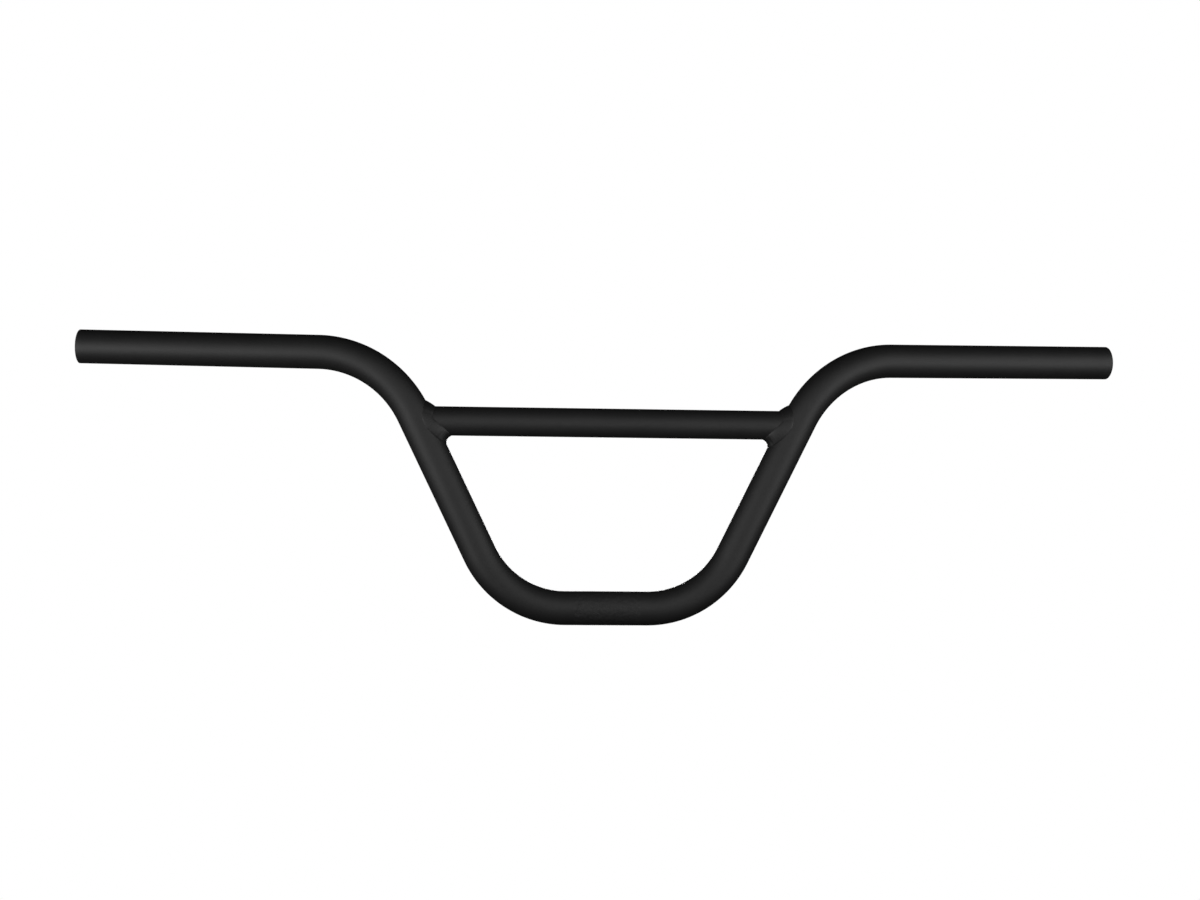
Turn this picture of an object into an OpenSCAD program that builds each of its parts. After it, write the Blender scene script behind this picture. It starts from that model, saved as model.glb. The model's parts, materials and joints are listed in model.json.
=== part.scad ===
// High-rise bicycle handlebar with a welded crossbar, for a threadless or quill stem.
// Millimetres. X runs across the bar, Y back towards the rider, Z up.
// The origin is the centre of the clamp straight, on the axis of the tube.

/* [Overall] */
// Width between the centres of the two tube ends
bar_width = 690; // [640:5:740]
// Height of the tube ends above the clamp straight, axis to axis
bar_rise = 167; // [155:1:200]
// Angle by which the grips sweep back towards the rider
backsweep = 10; // [4:0.5:14]
// Angle by which the grips slope up towards their ends
upsweep = 0.7; // [0:0.1:3]

/* [Main tube] */
// Outside diameter of the bent tube
tube_diameter = 22.2; // [21.6:0.1:23.4]
// Wall of the bent tube
tube_wall = 2; // [1.2:0.1:2.6]
// Length of the straight that the stem clamps
clamp_straight = 54; // [44:1:70]
// Angle of the uprights above the horizontal
upright_angle = 64; // [58:0.5:70]
// Radius of the lower bends, to the axis of the tube
lower_bend_radius = 62.5; // [50:0.5:70]
// Radius of the upper bends, to the axis of the tube
upper_bend_radius = 70; // [60:0.5:76]
// Chamfer that takes the burr off the tube ends
end_chamfer = 0.5; // [0.2:0.1:0.8]

/* [Crossbar] */
// Outside diameter of the crossbar
crossbar_diameter = 19; // [15:0.5:20]
// Wall of the crossbar
crossbar_wall = 1.2; // [0.8:0.1:2]
// Height of the crossbar above the clamp straight, axis to axis
crossbar_height = 121.3; // [80:0.5:124]
// Hole in the main tube that lets the crossbar breathe while it is welded
vent_diameter = 4; // [2:0.5:6]

/* [Welds] */
// Leg of the weld at the front and the back of the crossbar
weld_leg = 3.4; // [2.8:0.1:4]
// How much longer the leg gets at the top of the crossbar
weld_top_extra = 0.9; // [0:0.1:1.5]
// How much longer the leg gets in the tight corner under the crossbar
weld_bottom_extra = 2.4; // [1:0.1:3]
// Height of the lumps along the weld
weld_ripple = 0.28; // [0:0.02:0.4]

/* [Hidden] */
$fn = 64;
paint = "#1d1d1f";

tube_r = tube_diameter / 2;
bore_r = tube_r - tube_wall;
crossbar_r = crossbar_diameter / 2;
half_clamp = clamp_straight / 2;
cut_past = 5;

// A bend comes off the mandrel a hair thinner than the straights, which run this far into it.
bend_squeeze = 0.02;
bend_lap = 0.05;

// The right half of the tube's axis: straight, lower bend, upright, upper bend, grip.
upright_dir = [cos(upright_angle), 0, sin(upright_angle)];
grip_dir = [cos(upsweep) * cos(backsweep), cos(upsweep) * sin(backsweep), sin(upsweep)];
upper_bend_angle = acos(upright_dir * grip_dir);
upper_tangent = upper_bend_radius * tan(upper_bend_angle / 2);
lower_bend_x = lower_bend_radius * sin(upright_angle);
lower_bend_z = lower_bend_radius * (1 - cos(upright_angle));

// The upright and the grip take up what the bends leave of the width and the rise.
rest_x = bar_width / 2 - half_clamp - lower_bend_x - upper_tangent * (upright_dir.x + grip_dir.x);
rest_z = bar_rise - lower_bend_z - upper_tangent * (upright_dir.z + grip_dir.z);
slant = upright_dir.z * grip_dir.x - upright_dir.x * grip_dir.z;
upright_length = (rest_z * grip_dir.x - rest_x * grip_dir.z) / slant;
grip_length = (rest_x * upright_dir.z - rest_z * upright_dir.x) / slant;

upright_foot = [half_clamp + lower_bend_x, 0, lower_bend_z];
upright_top = upright_foot + upright_length * upright_dir;
bend_inward = (grip_dir - cos(upper_bend_angle) * upright_dir) / sin(upper_bend_angle);
bend_centre = upright_top + upper_bend_radius * bend_inward;
bend_axis = cross(upright_dir, bend_inward);

// How far out the tube's axis is at the height of the crossbar, on the upright or in the bend.
bend_climb = norm([upright_dir.z, bend_inward.z]);
bend_lead = atan2(-bend_inward.z, upright_dir.z);
bend_share = (crossbar_height - bend_centre.z) / upper_bend_radius / bend_climb;
bend_turn = asin(bend_share) - bend_lead;
crossbar_x = crossbar_height < upright_top.z
    ? upright_foot.x + (crossbar_height - upright_foot.z) / tan(upright_angle)
    : bend_centre.x + upper_bend_radius
        * (sin(bend_turn) * upright_dir.x - cos(bend_turn) * bend_inward.x);

// Shape of the weld, and how far its facets stay off the round faces it sits on.
weld_steps = 60;
weld_rows = 6;
weld_tube_rows = 4;
weld_bar_rows = 4;
weld_lumps = 4;
weld_fit = 0.05;
weld_swell = 0.9;
weld_top_swell = 0.2;
weld_bottom_swell = -2.4;

module clamp_rod(r) {
    rotate([0, 90, 0])
        cylinder(h = clamp_straight + 2 * bend_lap, r = r, center = true);
}

module lower_bend_rod(r) {
    translate([half_clamp, 0, lower_bend_radius])
        rotate([90, 0, 0])
            rotate([0, 0, -90])
                rotate_extrude(angle = upright_angle)
                    translate([lower_bend_radius, 0])
                        circle(r = r - bend_squeeze);
}

module upright_rod(r) {
    translate(upright_foot)
        rotate([0, 90 - upright_angle, 0])
            translate([0, 0, -bend_lap])
                cylinder(h = upright_length + 2 * bend_lap, r = r);
}

// Places a shape that starts on X in the plane of the upper bend.
module in_upper_bend() {
    multmatrix([
        [-bend_inward.x, upright_dir.x, bend_axis.x, bend_centre.x],
        [-bend_inward.y, upright_dir.y, bend_axis.y, bend_centre.y],
        [-bend_inward.z, upright_dir.z, bend_axis.z, bend_centre.z],
        [0, 0, 0, 1]
    ])
        children();
}

module upper_bend_rod(r) {
    in_upper_bend()
        rotate_extrude(angle = upper_bend_angle)
            translate([upper_bend_radius, 0])
                circle(r = r - bend_squeeze);
}

module grip_rod(r, chamfer, past) {
    straight = grip_length - chamfer + past;
    in_upper_bend()
        rotate([0, 0, upper_bend_angle])
            translate([upper_bend_radius, 0, 0])
                rotate([-90, 0, 0]) {
                    translate([0, 0, -bend_lap])
                        cylinder(h = straight + bend_lap, r = r);
                    if (chamfer > 0)
                        translate([0, 0, straight])
                            cylinder(h = chamfer, r1 = r, r2 = r - chamfer);
                }
}

module both_sides() {
    children();
    mirror([1, 0, 0])
        children();
}

// A solid bar of radius r along the whole axis of the main tube.
module bent_rod(r, chamfer = 0, past = 0) {
    clamp_rod(r);
    both_sides() {
        lower_bend_rod(r);
        upright_rod(r);
        upper_bend_rod(r);
        grip_rod(r, chamfer, past);
    }
}

module crossbar_rod(r, half_length) {
    translate([0, 0, crossbar_height])
        rotate([0, 90, 0])
            cylinder(h = 2 * half_length, r = r, center = true);
}

module main_tube() {
    color(paint)
        difference() {
            bent_rod(tube_r, chamfer = end_chamfer);
            bent_rod(bore_r, past = cut_past);
            crossbar_rod(vent_diameter / 2, crossbar_x);
        }
}

module crossbar() {
    color(paint)
        difference() {
            crossbar_rod(crossbar_r, crossbar_x);
            crossbar_rod(crossbar_r - crossbar_wall, crossbar_x + cut_past);
            both_sides() {
                upright_rod(tube_r);
                upper_bend_rod(tube_r);
            }
        }
}

function unit(v) = v / norm(v);

function axis_past_upright(p) =
    let (v = p - bend_centre)
    bend_centre + upper_bend_radius * unit(v - (v * bend_axis) * bend_axis);

// The point of the tube's axis nearest to p, anywhere along the upright and the upper bend.
function axis_near(p) =
    let (along = (p - upright_top) * upright_dir)
    along <= 0 ? upright_top + along * upright_dir : axis_past_upright(p);

function tube_normal(p) = unit(p - axis_near(p));
function on_tube(p) = axis_near(p) + (tube_r + weld_fit) * tube_normal(p);

// Halves the stretch from a to b until it closes on the tube's face: a is outside and b inside.
function meet_tube(a, b, tries = 24) =
    let (m = (a + b) / 2)
    tries == 0 ? on_tube(m) :
    norm(m - axis_near(m)) > tube_r + weld_fit ? meet_tube(m, b, tries - 1) :
    meet_tube(a, m, tries - 1);

function bar_normal(p) = unit([0, p.y, p.z - crossbar_height]);
function on_crossbar(p) =
    [p.x, 0, crossbar_height] + (crossbar_r + weld_fit) * bar_normal(p);

// Blends a value at the sides into one at the top and one at the bottom of the crossbar.
function around(turn, side, top, bottom) =
    side + (top - bottom) / 2 * sin(turn) + ((top + bottom) / 2 - side) * pow(sin(turn), 2);

// One closed section of the weld: over the fillet, back along the tube, back along the crossbar.
function weld_section(turn, start) =
    let (
        rim = on_crossbar([0, cos(turn), crossbar_height + sin(turn)]),
        seam = meet_tube(rim, rim + [crossbar_x, 0, 0]),
        off_bar = bar_normal(seam),
        off_tube = tube_normal(seam),
        from_tube = unit(off_tube - (off_tube * off_bar) * off_bar),
        from_bar = unit(off_bar - (off_bar * off_tube) * off_tube),
        leg = around(turn, weld_leg, weld_leg + weld_top_extra, weld_leg + weld_bottom_extra),
        bar_toe = on_crossbar(seam + leg * from_tube),
        tube_toe = on_tube(seam + leg * from_bar),
        swell = around(turn, weld_swell, weld_top_swell, weld_bottom_swell),
        lump = 2 * weld_ripple * cos(weld_lumps * turn + start),
        crown = (bar_toe + tube_toe) / 2 + (swell + lump) * unit(off_bar + off_tube)
    )
    concat(
        [for (k = [0:weld_rows])
            let (t = k / weld_rows)
            pow(1 - t, 2) * bar_toe + 2 * t * (1 - t) * crown + pow(t, 2) * tube_toe],
        [for (k = [1:weld_tube_rows - 1])
            on_tube(tube_toe + (seam - tube_toe) * k / weld_tube_rows)],
        [for (k = [0:weld_bar_rows - 1])
            on_crossbar(seam + (bar_toe - seam) * k / weld_bar_rows)]
    );

module weld(start) {
    sections = [for (i = [0:weld_steps - 1]) weld_section(i * 360 / weld_steps, start)];
    around_section = len(sections[0]);
    faces = [for (i = [0:weld_steps - 1], k = [0:around_section - 1])
        let (
            here = i * around_section,
            next = ((i + 1) % weld_steps) * around_section,
            up = (k + 1) % around_section
        )
        each [[here + k, next + k, next + up], [here + k, next + up, here + up]]];
    polyhedron(points = [for (section = sections) each section], faces = faces, convexity = 6);
}

module weld_left() {
    color(paint)
        mirror([1, 0, 0])
            weld(300);
}

module weld_right() {
    color(paint)
        weld(280);
}

main_tube();
crossbar();
weld_left();
weld_right();
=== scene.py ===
import json
import math

import bpy
from mathutils import Matrix, Vector, noise


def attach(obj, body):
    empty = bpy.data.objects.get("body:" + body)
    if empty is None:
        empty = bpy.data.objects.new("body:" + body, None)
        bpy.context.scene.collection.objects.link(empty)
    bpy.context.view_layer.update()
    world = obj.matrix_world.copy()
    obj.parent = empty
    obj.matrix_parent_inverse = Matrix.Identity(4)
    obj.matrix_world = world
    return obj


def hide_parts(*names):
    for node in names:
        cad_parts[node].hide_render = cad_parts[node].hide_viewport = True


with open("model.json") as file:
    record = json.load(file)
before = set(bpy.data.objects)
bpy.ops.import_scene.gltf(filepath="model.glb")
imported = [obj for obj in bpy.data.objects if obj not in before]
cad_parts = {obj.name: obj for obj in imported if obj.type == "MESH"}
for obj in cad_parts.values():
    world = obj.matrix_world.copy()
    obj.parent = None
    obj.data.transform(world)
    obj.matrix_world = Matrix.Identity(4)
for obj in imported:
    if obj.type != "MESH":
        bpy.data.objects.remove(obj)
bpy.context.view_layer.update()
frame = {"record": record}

# Camera
# It stands 1.5 m in front of the bar, a little to the left of its middle and about as high as the
# crossbar, and is turned and tipped by a few degrees.
camera_distance = 1.5
camera_lens = 68.7
camera_aim = Vector((-0.00515, 0.0015, 0.10364))
camera_yaw = math.radians(5.664)
camera_pitch = math.radians(0.544)
camera_roll = math.radians(0.763)

to_camera = (
    Matrix.Rotation(camera_roll, 3, "Y")
    @ Matrix.Rotation(camera_pitch, 3, "X")
    @ Matrix.Rotation(camera_yaw, 3, "Z")
)
to_world = to_camera.transposed()
camera = bpy.data.objects.new("camera", bpy.data.cameras.new("camera"))
camera.data.lens = camera_lens
camera.matrix_world = (
    Matrix.Translation(camera_aim - camera_distance * to_world.col[1])
    @ (to_world @ Matrix.Rotation(math.pi / 2, 3, "X")).to_4x4()
)
bpy.context.scene.collection.objects.link(camera)
bpy.context.scene.camera = camera

# Main tube
# One steel tube with a 2 mm wall, bent four times on a mandrel: clamp straight, lower bends,
# uprights, upper bends and grips. The middle is knurled so that the stem can't slip on it, and the
# ends are sawn square and filed.
mounts = {mount["name"]: mount for mount in frame["record"]["mounts"]}
tube_radius = mounts["stem_clamp"]["dims"]["r_mm"] / 1000
bore_radius = mounts["bar_end_right"]["dims"]["r_mm"] / 1000
bar_width = 0.690
bar_rise = 0.167
backsweep = math.radians(10)
upsweep = math.radians(0.7)
half_clamp = 0.027
upright_angle = math.radians(64)
lower_bend_radius = 0.0625
upper_bend_radius = 0.070
end_round = 0.0005
bore_round = 0.0003

upright_dir = Vector((math.cos(upright_angle), 0, math.sin(upright_angle)))
grip_dir = Vector((
    math.cos(upsweep) * math.cos(backsweep),
    math.cos(upsweep) * math.sin(backsweep),
    math.sin(upsweep),
))
upper_bend_angle = upright_dir.angle(grip_dir)
upper_tangent = upper_bend_radius * math.tan(upper_bend_angle / 2)
upright_foot = Vector((
    half_clamp + lower_bend_radius * math.sin(upright_angle),
    0,
    lower_bend_radius * (1 - math.cos(upright_angle)),
))

# The upright and the grip take up what the bends leave of the width and the rise.
rest_x = bar_width / 2 - upright_foot.x - upper_tangent * (upright_dir.x + grip_dir.x)
rest_z = bar_rise - upright_foot.z - upper_tangent * (upright_dir.z + grip_dir.z)
slant = upright_dir.z * grip_dir.x - upright_dir.x * grip_dir.z
upright_length = (rest_z * grip_dir.x - rest_x * grip_dir.z) / slant
grip_length = (rest_x * upright_dir.z - rest_z * upright_dir.x) / slant
upright_top = upright_foot + upright_length * upright_dir
bend_inward = (grip_dir - math.cos(upper_bend_angle) * upright_dir).normalized()
bend_centre = upright_top + upper_bend_radius * bend_inward
bend_axis = upright_dir.cross(bend_inward)

# Where each stretch of the right half ends, measured along the axis from the middle of the bar.
end_of_clamp = half_clamp
end_of_lower_bend = end_of_clamp + lower_bend_radius * upright_angle
end_of_upright = end_of_lower_bend + upright_length
end_of_upper_bend = end_of_upright + upper_bend_radius * upper_bend_angle
end_of_grip = end_of_upper_bend + grip_length


def axis_at(length):
    """The point and the direction of the tube's axis at that length from the middle."""
    if length <= end_of_clamp:
        return Vector((length, 0, 0)), Vector((1, 0, 0))
    if length <= end_of_lower_bend:
        turn = (length - end_of_clamp) / lower_bend_radius
        sine, cosine = math.sin(turn), math.cos(turn)
        point = Vector((half_clamp + lower_bend_radius * sine, 0, lower_bend_radius * (1 - cosine)))
        return point, Vector((cosine, 0, sine))
    if length <= end_of_upright:
        return upright_foot + (length - end_of_lower_bend) * upright_dir, upright_dir
    if length <= end_of_upper_bend:
        turn = (length - end_of_upright) / upper_bend_radius
        sine, cosine = math.sin(turn), math.cos(turn)
        spoke = sine * upright_dir - cosine * bend_inward
        return bend_centre + upper_bend_radius * spoke, cosine * upright_dir + sine * bend_inward
    spoke = math.sin(upper_bend_angle) * upright_dir - math.cos(upper_bend_angle) * bend_inward
    grip_start = bend_centre + upper_bend_radius * spoke
    return grip_start + (length - end_of_upper_bend) * grip_dir, grip_dir


knurl_end = 0.0215
knurl_fade = 0.0009
knurl_depth = 0.0003
knurl_patch = 0.004
knurl_count = 48
knurl_pitch = 0.0025
diamond_middle = 0.6
open_least = 0.15
open_middle = 0.5
open_swing = 0.9


def knurl(angle, length):
    """Height of the knurl's diamonds. The coat fills their grooves in patches, more or less."""
    share = min(1, max(0, (knurl_end - length) / knurl_fade))
    around = knurl_count * angle / 2
    along = math.pi * length / knurl_pitch
    diamond = math.sin(around + along) ** 2 * math.sin(around - along) ** 2
    place = Vector((length, tube_radius * math.cos(angle), tube_radius * math.sin(angle)))
    patches = open_middle + open_swing * noise.noise(place / knurl_patch)
    open_share = min(1, max(open_least, patches))
    return share * open_share * knurl_depth * (diamond - diamond_middle)


def steps(start, end, size):
    """Evenly spaced lengths from start up to, but not including, end."""
    count = max(1, round((end - start) / size))
    return [start + (end - start) * i / count for i in range(count)]


def ring(point, side, over, radius, sides, relief=None):
    """One ring of points about the axis. The relief adds to the radius at each angle."""
    angles = [2 * math.pi * i / sides for i in range(sides)]
    reach = [radius + (relief(angle) if relief else 0) for angle in angles]
    return [
        point + r * (math.cos(angle) * side + math.sin(angle) * over)
        for r, angle in zip(reach, angles)
    ]


small_turns = 32


def rings_along(lengths, radius_at, sides_at, relief_at=None):
    """Rings at these lengths of the right half, kept from twisting against each other."""
    rings, side, done = [], Vector((0, 1, 0)), 0
    for length in lengths:
        for i in range(1, small_turns + 1):
            direction = axis_at(done + (length - done) * i / small_turns)[1]
            side = (side - side.dot(direction) * direction).normalized()
        done = length
        point, direction = axis_at(length)
        relief = (lambda angle: relief_at(angle, length)) if relief_at else None
        over = direction.cross(side)
        rings.append(ring(point, side, over, radius_at(length), sides_at(length), relief))
    return rings


def both_halves(right_rings):
    """The rings from the left end to the right one: the left half mirrors the right one."""
    left_rings = [[Vector((-p.x, p.y, p.z)) for p in r] for r in reversed(right_rings[1:])]
    return left_rings + right_rings


crease = math.radians(50)


def skin(name, rings, closed=False):
    """Joins each ring to the next with faces. A ring may have twice the points of its neighbour."""
    starts, points = [], []
    for r in rings:
        starts.append(len(points))
        points.extend(r)
    faces = []
    for k in range(len(rings) if closed else len(rings) - 1):
        j = (k + 1) % len(rings)
        here_count, next_count = len(rings[k]), len(rings[j])
        for i in range(min(here_count, next_count)):
            if here_count == next_count:
                a, b = (starts[k] + n % here_count for n in (i, i + 1))
                d, c = (starts[j] + n % next_count for n in (i, i + 1))
                faces.append((a, b, c, d))
            elif here_count < next_count:
                a, b = (starts[k] + n % here_count for n in (i, i + 1))
                c, d, e = (starts[j] + n % next_count for n in (2 * i, 2 * i + 1, 2 * i + 2))
                faces.extend(((a, b, d), (a, d, c), (b, e, d)))
            else:
                a, b = (starts[j] + n % next_count for n in (i, i + 1))
                c, d, e = (starts[k] + n % here_count for n in (2 * i, 2 * i + 1, 2 * i + 2))
                faces.extend(((c, d, a), (d, b, a), (d, e, b)))
    mesh = bpy.data.meshes.new(name)
    mesh.from_pydata(points, [], faces)
    mesh.validate()
    mesh.shade_smooth()
    mesh.set_sharp_from_angle(angle=crease)
    piece = bpy.data.objects.new(name, mesh)
    bpy.context.scene.collection.objects.link(piece)
    return piece


knurl_step = knurl_pitch / 8
clamp_step = 0.0015
bend_step = 0.0022
straight_step = 0.004
bore_bend_step = 0.004
bore_straight_step = 0.02
knurl_sides = 4 * knurl_count
plain_sides = 96
round_steps = 4

outer_lengths = (
    steps(0, knurl_end, knurl_step)
    + steps(knurl_end, end_of_clamp, clamp_step)
    + steps(end_of_clamp, end_of_lower_bend, bend_step)
    + steps(end_of_lower_bend, end_of_upright, straight_step)
    + steps(end_of_upright, end_of_upper_bend, bend_step)
    + steps(end_of_upper_bend, end_of_grip - end_round, straight_step)
)
bore_lengths = (
    [0]
    + steps(end_of_clamp, end_of_lower_bend, bore_bend_step)
    + steps(end_of_lower_bend, end_of_upright, bore_straight_step)
    + steps(end_of_upright, end_of_upper_bend, bore_bend_step)
    + steps(end_of_upper_bend, end_of_grip - bore_round, bore_straight_step)
)


def rounded_end(edge, into_wall, size):
    """Lengths and radii over the rounded edge of the tube's end, from the edge's full radius."""
    turns = [math.pi / 2 * i / round_steps for i in range(round_steps + 1)]
    return [
        (end_of_grip - size * (1 - math.sin(turn)), edge + into_wall * size * (1 - math.cos(turn)))
        for turn in turns
    ]


outer_edge = rounded_end(tube_radius, -1, end_round)
inner_edge = rounded_end(bore_radius, 1, bore_round)
edge_radius = dict(outer_edge + inner_edge)
outer_rings = both_halves(
    rings_along(
        outer_lengths + [length for length, _ in outer_edge[:-1]],
        lambda length: edge_radius.get(length, tube_radius),
        lambda length: knurl_sides if length < knurl_end else plain_sides,
        knurl,
    )
)
face_rings = [
    rings_along(bore_lengths + [end_of_grip], lambda length: radius, lambda length: plain_sides)[-1]
    for radius in (tube_radius - end_round, bore_radius + bore_round)
]
bore_rings = both_halves(
    rings_along(
        bore_lengths + [length for length, _ in inner_edge[:-1]],
        lambda length: edge_radius.get(length, bore_radius),
        lambda length: plain_sides,
    )
)
left_face_rings = [[Vector((-p.x, p.y, p.z)) for p in r] for r in face_rings]
main_tube = skin(
    "main_tube_coated",
    left_face_rings[:1] + outer_rings + face_rings + bore_rings[::-1] + left_face_rings[1:],
    closed=True,
)

coat_shade = 0.008
coat_ior = 1.5
dark_tint = (0.85, 0.85, 0.87)
light_tint = (1.15, 1.15, 1.16)
rough_swing = 0.04
texture_low = 0.3
texture_high = 0.7


def powder_coat(name, roughness, peel_scale, peel_height, grain_height):
    """Matt black powder coat: baked plastic powder with a faint peel and a fine grain."""
    material = bpy.data.materials.new(name)
    material.use_nodes = True
    tree = material.node_tree
    join = tree.links.new
    coat = tree.nodes["Principled BSDF"]
    coat.inputs["IOR"].default_value = coat_ior
    where = tree.nodes.new("ShaderNodeTexCoord").outputs["Object"]

    def mottle(scale, detail, coarse):
        texture = tree.nodes.new("ShaderNodeTexNoise")
        texture.inputs["Scale"].default_value = scale
        texture.inputs["Detail"].default_value = detail
        texture.inputs["Roughness"].default_value = coarse
        join(where, texture.inputs["Vector"])
        return texture.outputs["Fac"]

    def spread(source, low, high):
        span = tree.nodes.new("ShaderNodeMapRange")
        span.inputs["From Min"].default_value = texture_low
        span.inputs["From Max"].default_value = texture_high
        span.inputs["To Min"].default_value = low
        span.inputs["To Max"].default_value = high
        join(source, span.inputs["Value"])
        return span.outputs["Result"]

    cloud = mottle(scale=60, detail=4, coarse=0.6)
    grain = mottle(scale=5200, detail=2, coarse=0.7)
    tint = tree.nodes.new("ShaderNodeMix")
    tint.data_type = "RGBA"
    tint.inputs["A"].default_value = (*(coat_shade * share for share in dark_tint), 1)
    tint.inputs["B"].default_value = (*(coat_shade * share for share in light_tint), 1)
    join(spread(cloud, 0, 1), tint.inputs["Factor"])
    join(tint.outputs["Result"], coat.inputs["Base Color"])
    rough = spread(grain, roughness - rough_swing, roughness + rough_swing)
    join(rough, coat.inputs["Roughness"])

    surface = None
    peel = mottle(scale=peel_scale, detail=3, coarse=0.5)
    for source, height in ((peel, peel_height), (grain, grain_height)):
        bump = tree.nodes.new("ShaderNodeBump")
        bump.inputs["Strength"].default_value = 1
        bump.inputs["Distance"].default_value = height
        join(source, bump.inputs["Height"])
        if surface:
            join(surface, bump.inputs["Normal"])
        surface = bump.outputs["Normal"]
    join(surface, coat.inputs["Normal"])
    return material


tube_coat = powder_coat(
    "tube_powder_coat",
    roughness=0.58,
    peel_scale=900,
    peel_height=0.00004,
    grain_height=0.000012,
)
knurl_coat = powder_coat(
    "knurl_powder_coat",
    roughness=0.6,
    peel_scale=500,
    peel_height=0.0006,
    grain_height=0.00002,
)
main_tube.data.materials.append(tube_coat)
main_tube.data.materials.append(knurl_coat)
for face in main_tube.data.polygons:
    outside = face.center.yz.length > (tube_radius + bore_radius) / 2
    face.material_index = int(outside and abs(face.center.x) < knurl_end)
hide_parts("main_tube")
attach(main_tube, "root")

# Crossbar
# A straight steel tube of 19 mm with a 1.2 mm wall. Both ends are mitred to a saddle that seats on
# the uprights, where they run into the upper bends. It gets the same coat as the main tube.
crossbar_radius = 0.0095
crossbar_bore_radius = 0.0083
crossbar_height = 0.1213
crossbar_steps = 24
halvings = 30


def axis_near(p):
    """The point of the right half's axis nearest to p, along the upright and the upper bend."""
    along = (p - upright_top).dot(upright_dir)
    if along <= 0:
        return upright_top + along * upright_dir
    spoke = p - bend_centre
    return bend_centre + upper_bend_radius * (spoke - spoke.dot(bend_axis) * bend_axis).normalized()


def meet_tube(p, radius):
    """Where a line from p straight to the right comes that near to the tube's axis."""
    outside, inside = 0.0, upright_top.x
    for _ in range(halvings):
        middle = (outside + inside) / 2
        reached = Vector((middle, p.y, p.z))
        if (reached - axis_near(reached)).length > radius:
            outside = middle
        else:
            inside = middle
    return Vector((outside, p.y, p.z))


def mitred_ring(radius):
    """The crossbar's rim where it meets the outside of the main tube."""
    angles = [2 * math.pi * i / plain_sides for i in range(plain_sides)]
    rim = [
        Vector((0, radius * math.cos(angle), crossbar_height + radius * math.sin(angle)))
        for angle in angles
    ]
    return [meet_tube(p, tube_radius) for p in rim]


def crossbar_rings(radius):
    mitre = mitred_ring(radius)
    shares = [i / crossbar_steps for i in range(-crossbar_steps, crossbar_steps + 1)]
    return [[Vector((share * p.x, p.y, p.z)) for p in mitre] for share in shares]


crossbar = skin(
    "crossbar_coated",
    crossbar_rings(crossbar_radius) + crossbar_rings(crossbar_bore_radius)[::-1],
    closed=True,
)
crossbar.data.materials.append(tube_coat)
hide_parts("crossbar")
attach(crossbar, "root")

# Welds
# A steel bead laid by hand round each end of the crossbar in a few passes, each thin where it
# starts and thick where it stops. The two ends came out unequal. The bead fills the tight corner
# under the crossbar, and the coat goes over it and softens its ripples.
weld_bar_leg = {"left": 0.0044, "right": 0.0058}
weld_tube_leg = {"left": 0.0027, "right": 0.0018}
weld_top_leg = 0.0043
weld_bottom_leg = 0.0058
weld_swell = 0.0009
weld_top_swell = 0.0003
weld_hollow = 0.0033
hollow_sharpness = 9
weld_stops = {"left": (28, 148, 232, 262, 300), "right": (25, 157, 248, 300)}
pass_start = 0.45
pass_end = 0.08
pass_middle = 0.7
pass_height = 0.00016
pass_spread = 0.00020
ripple_height = 0.00003
ripple_count = 42
lip_height = 0.00018
lip_top_height = {"left": 0.00003, "right": 0.00018}
lip_share = 0.08
weld_root = 0.0003
weld_steps = 336
weld_rows = [0, 0.03, 0.08, 0.14, 0.22, 0.3, 0.4, 0.5, 0.6, 0.7, 0.78, 0.86, 0.92, 0.97, 1]


def around_weld(turn, side, top, bottom):
    """Blends a value at the sides into one at the top and one at the bottom of the crossbar."""
    sine = math.sin(turn)
    return side + (top - bottom) / 2 * sine + ((top + bottom) / 2 - side) * sine ** 2


def tube_normal(p):
    return (p - axis_near(p)).normalized()


def on_tube(p, depth=0.0):
    return axis_near(p) + (tube_radius - depth) * tube_normal(p)


def crossbar_normal(p):
    return Vector((0, p.y, p.z - crossbar_height)).normalized()


def on_crossbar(p, depth=0.0):
    return Vector((p.x, 0, crossbar_height)) + (crossbar_radius - depth) * crossbar_normal(p)


def thickness_of_pass(turn, stops):
    """From 0 at the thin start of a pass to nearly 1 just before its end. The passes that lie
    between two stops under or behind the crossbar were laid the other way round."""
    stops = [math.radians(stop) for stop in stops]
    if turn < stops[0]:
        turn += 2 * math.pi
    ends = stops[1:] + [stops[0] + 2 * math.pi]
    start, end = next((a, b) for a, b in zip(stops, ends) if turn <= b)
    done, left = turn - start, end - turn
    if start > math.pi:
        done, left = left, done
    return (1 - math.exp(-done / pass_start)) * (1 - math.exp(-left / pass_end))


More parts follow.
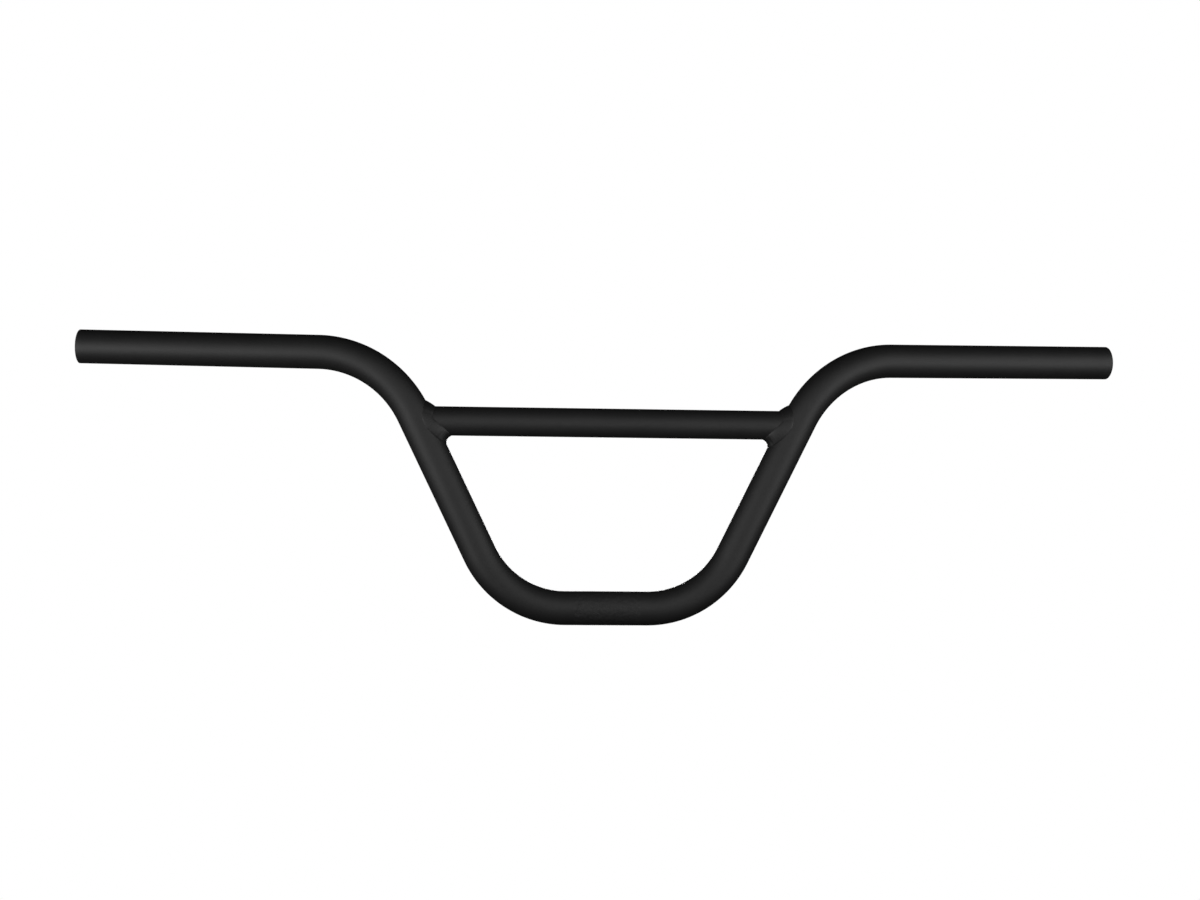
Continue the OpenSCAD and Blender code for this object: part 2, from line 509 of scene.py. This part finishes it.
def weld_section(turn, side):
    """One section of the bead: over its face, then back along its roots in tube and crossbar."""
    rim = Vector((
        0,
        crossbar_radius * math.cos(turn),
        crossbar_height + crossbar_radius * math.sin(turn),
    ))
    seam = meet_tube(rim, tube_radius)
    off_bar, off_tube = crossbar_normal(seam), tube_normal(seam)
    from_tube = (off_tube - off_tube.dot(off_bar) * off_bar).normalized()
    from_bar = (off_bar - off_bar.dot(off_tube) * off_tube).normalized()
    bisector = (off_bar + off_tube).normalized()

    bead = thickness_of_pass(turn, weld_stops[side]) - pass_middle
    ripple = ripple_height * math.sin(ripple_count * turn)
    spread = pass_spread * bead
    bar_leg = around_weld(turn, weld_bar_leg[side], weld_top_leg, weld_bottom_leg) + spread
    tube_leg = around_weld(turn, weld_tube_leg[side], weld_top_leg, weld_bottom_leg) + spread
    under = max(0, -math.sin(turn)) ** hollow_sharpness
    swell = around_weld(turn, weld_swell, weld_top_swell, weld_swell) - weld_hollow * under
    lip_here = around_weld(turn, lip_height, lip_top_height[side], lip_height)
    bar_toe = on_crossbar(seam + bar_leg * from_tube)
    tube_toe = on_tube(seam + tube_leg * from_bar)
    crown = (bar_toe + tube_toe) / 2 + (swell + 2 * (pass_height * bead + ripple)) * bisector

    face = []
    for t in weld_rows:
        lip = lip_here * min(1, t / lip_share, (1 - t) / lip_share)
        curve = (1 - t) ** 2 * bar_toe + 2 * t * (1 - t) * crown + t ** 2 * tube_toe
        face.append(curve + lip * bisector)
    return (
        face
        + [on_tube(tube_toe + (seam - tube_toe) * share, weld_root) for share in (0, 0.5, 1)]
        + [on_crossbar(seam + (bar_toe - seam) * share, weld_root) for share in (0.5, 1)]
    )


weld_coat = powder_coat(
    "weld_powder_coat",
    roughness=0.55,
    peel_scale=900,
    peel_height=0.00005,
    grain_height=0.000012,
)
for side, mirror in (("left", -1), ("right", 1)):
    turns = [2 * math.pi * i / weld_steps for i in range(weld_steps)]
    sections = [weld_section(turn, side) for turn in turns]
    sections = [[Vector((mirror * p.x, p.y, p.z)) for p in section] for section in sections]
    weld = skin(f"weld_{side}_coated", sections[::mirror], closed=True)
    weld.data.materials.append(weld_coat)
    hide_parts(f"weld_{side}")
    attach(weld, "root")

# Floor
# A plain white sheet on the ground, well under the bar, because the bar is held at its clamp. It
# looks white and keeps the bar's shadow, but throws no light back up at the bar. From below it can
# be seen through.
floor_height = -0.55
floor_size = 14
floor_shade = 0.8
shadow_radius = 0.9
shadow_core = 0.4
shadow_white = 0.6


def seen_white(tree):
    """1 for the rays that show the plain white surroundings, to the camera and in clear or polished
    surfaces, and 0 for those that light the matt coat."""
    path = tree.nodes.new("ShaderNodeLightPath").outputs
    polished = tree.nodes.new("ShaderNodeMath")
    polished.operation = "MULTIPLY"
    tree.links.new(path["Is Glossy Ray"], polished.inputs[0])
    tree.links.new(path["Is Singular Ray"], polished.inputs[1])
    seen = polished.outputs[0]
    for ray in ("Is Transmission Ray", "Is Camera Ray"):
        either = tree.nodes.new("ShaderNodeMath")
        either.operation = "MAXIMUM"
        tree.links.new(seen, either.inputs[0])
        tree.links.new(path[ray], either.inputs[1])
        seen = either.outputs[0]
    return seen


mesh = bpy.data.meshes.new("floor")
half = floor_size / 2
corners = [(-half, -half), (half, -half), (half, half), (-half, half)]
mesh.from_pydata([(x, y, floor_height) for x, y in corners], [], [(0, 1, 2, 3)])
floor = bpy.data.objects.new("floor", mesh)
bpy.context.scene.collection.objects.link(floor)
floor.visible_diffuse = False
floor.visible_glossy = False

paper = bpy.data.materials.new("white_floor")
paper.use_nodes = True
tree = paper.node_tree
tree.nodes.clear()
join = tree.links.new
lit = tree.nodes.new("ShaderNodeBsdfDiffuse")
lit.inputs["Color"].default_value = (floor_shade, floor_shade, floor_shade, 1)
plain = tree.nodes.new("ShaderNodeEmission")
clear = tree.nodes.new("ShaderNodeBsdfTransparent")
place = tree.nodes.new("ShaderNodeNewGeometry")
middle = tree.nodes.new("ShaderNodeVectorMath")
middle.operation = "DISTANCE"
middle.inputs[1].default_value = (0, 0, floor_height)
join(place.outputs["Position"], middle.inputs[0])
fade = tree.nodes.new("ShaderNodeMapRange")
fade.interpolation_type = "SMOOTHSTEP"
fade.inputs["From Min"].default_value = shadow_core * shadow_radius
fade.inputs["From Max"].default_value = shadow_radius
fade.inputs["To Min"].default_value = shadow_white
fade.inputs["To Max"].default_value = 1
join(middle.outputs["Value"], fade.inputs["Value"])
share = tree.nodes.new("ShaderNodeMath")
share.operation = "MULTIPLY"
join(fade.outputs["Result"], share.inputs[0])
join(seen_white(tree), share.inputs[1])
front = tree.nodes.new("ShaderNodeMixShader")
join(share.outputs[0], front.inputs["Fac"])
join(lit.outputs[0], front.inputs[1])
join(plain.outputs[0], front.inputs[2])
both = tree.nodes.new("ShaderNodeMixShader")
join(place.outputs["Backfacing"], both.inputs["Fac"])
join(front.outputs[0], both.inputs[1])
join(clear.outputs[0], both.inputs[2])
join(both.outputs[0], tree.nodes.new("ShaderNodeOutputMaterial").inputs["Surface"])
mesh.materials.append(paper)

# Light
# A long softbox in front lays one soft highlight along the tubes, and four smaller ones at the
# sides light the flanks of the uprights and bends. One straight behind the bar shows its back and
# leaves the edges dark. The room is nearly dark, and the overhead lamp lights only the floor.
room_light = 0.005
world = bpy.data.worlds.new("room")
world.use_nodes = True
tree = world.node_tree
strength = tree.nodes.new("ShaderNodeMapRange")
strength.inputs["To Min"].default_value = room_light
strength.inputs["To Max"].default_value = 1
tree.links.new(seen_white(tree), strength.inputs["Value"])
tree.nodes["Background"].inputs["Color"].default_value = (1, 1, 1, 1)
tree.links.new(strength.outputs["Result"], tree.nodes["Background"].inputs["Strength"])
bpy.context.scene.world = world
bpy.context.scene.view_settings.view_transform = "Standard"


def softbox(name, place, aim, width, height, watts):
    """A flat rectangular lamp that points at aim. The camera doesn't see it."""
    lamp = bpy.data.lights.new(name, "AREA")
    lamp.shape = "RECTANGLE"
    lamp.size, lamp.size_y, lamp.energy = width, height, watts
    box = bpy.data.objects.new(name, lamp)
    box.location = place
    box.rotation_euler = (Vector(aim) - Vector(place)).to_track_quat("-Z", "Y").to_euler()
    box.visible_camera = False
    bpy.context.scene.collection.objects.link(box)
    return box


softbox("front_strip", (0, -0.30, 0.16), (0, 0, 0.16), 1.4, 0.34, 1.09)
softbox("left_low", (-0.95, -0.95, -0.15), (0, 0, 0.08), 0.35, 0.35, 3.62)
softbox("right_low", (0.95, -0.95, -0.15), (0, 0, 0.08), 0.35, 0.35, 2.98)
softbox("left_far", (-1.3, -0.5, 0.1), (0, 0, 0.08), 0.6, 0.6, 4.96)
softbox("right_high", (0.9, -0.45, 0.35), (0, 0, 0.08), 0.5, 0.5, 1.74)
softbox("behind", (0.18, 1.79, 0.09), (0, 0, 0.08), 0.3, 0.3, 14)
floor_only = bpy.data.collections.new("floor_only")
floor_only.objects.link(floor)
overhead = softbox("overhead", (0, 0, 1.1), (0, 0, 0), 0.5, 0.5, 20)
overhead.light_linking.receiver_collection = floor_only
